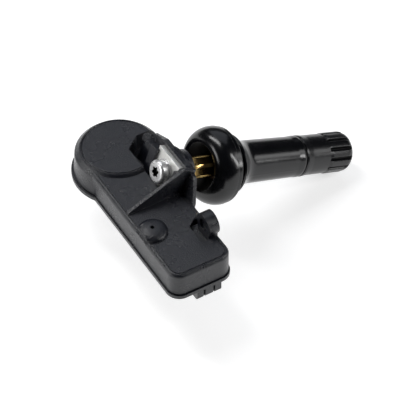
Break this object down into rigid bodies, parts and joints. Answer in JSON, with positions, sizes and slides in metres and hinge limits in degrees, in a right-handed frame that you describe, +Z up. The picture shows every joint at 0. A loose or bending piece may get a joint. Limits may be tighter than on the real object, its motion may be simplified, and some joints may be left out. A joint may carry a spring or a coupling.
{
  "type": "tyre pressure sensor",
  "caption": "Tyre pressure sensor: a flat black sensor body on a snap-in rubber valve, held by a clamp plate and a star-recess screw, with a long plastic cap.",
  "frame": {"origin": "middle of the rim groove, on the axis of the valve", "axes": "+X towards the valve's cap, level with the sensor body's flat top; +Y from the electronics box towards the round battery pod; +Z up, out of the body's top face. The valve's axis lies in the XZ plane and slopes down towards +X by 21.2 degrees."},
  "size_m": [0.071, 0.0562, 0.0298],
  "materials": {
    "body_nylon": "fine moulded grain",
    "cover_nylon": "fine moulded grain",
    "rubber": "smooth moulded",
    "cap_plastic": "satin",
    "brass": "turned",
    "zinc": "bright zinc plate",
    "screw_steel": "bright plated",
    "board": "coated board",
    "cell_steel": "drawn can",
    "strip_nickel": "rolled strip",
    "chip_resin": "moulded resin",
    "ferrite": "fired",
    "copper_wire": "lacquered wire",
    "ceramic": "fired",
    "seal_rubber": "soft",
    "gasket_red": "smooth"
  },
  "bodies": {
    "root": {"housing": "body_nylon", "base_cover": "cover_nylon", "circuit_board": "board", "battery_cell": "cell_steel", "battery_tab_top": "strip_nickel", "battery_tab_bottom": "strip_nickel", "pressure_sensor_chip": "chip_resin", "port_seal": "seal_rubber", "radio_chip": "chip_resin", "crystal_can": "cell_steel", "coil_core": "ferrite", "coil_winding": "copper_wire", "antenna_strip": "strip_nickel", "board_capacitors": "ceramic", "clamp_plate": "zinc", "flat_washer": "screw_steel", "lock_washer": "screw_steel", "clamp_screw": "screw_steel", "brass_stem": "brass", "rubber_valve": "rubber", "core_barrel": "brass", "core_gasket": "gasket_red", "core_spring": "screw_steel"},
    "pin": {"core_pin": "brass", "core_plunger": "seal_rubber"},
    "seal": {"cap_seal": "seal_rubber"},
    "cap": {"valve_cap": "cap_plastic"}
  },
  "joints": [
    {"name": "cap_travel", "type": "slide", "parent": "root", "child": "seal", "axis": [0.9323, 0, -0.3616], "range_m": [0, 0.00556]},
    {"name": "cap_turn", "type": "hinge", "parent": "seal", "child": "cap", "pos_m": [0, 0, 0], "axis": [0.9323, 0, -0.3616], "range_deg": [0, 2520]},
    {"name": "core_press", "type": "slide", "parent": "root", "child": "pin", "axis": [-0.9323, 0, 0.3616], "range_m": [0, 0.0012], "stiffness_N_per_m": 200, "deforming": ["core_spring"]}
  ],
  "couplings": [
    {"joint": "cap_turn", "follows": "cap_travel", "rad_per_m": 7913.3}
  ]
}
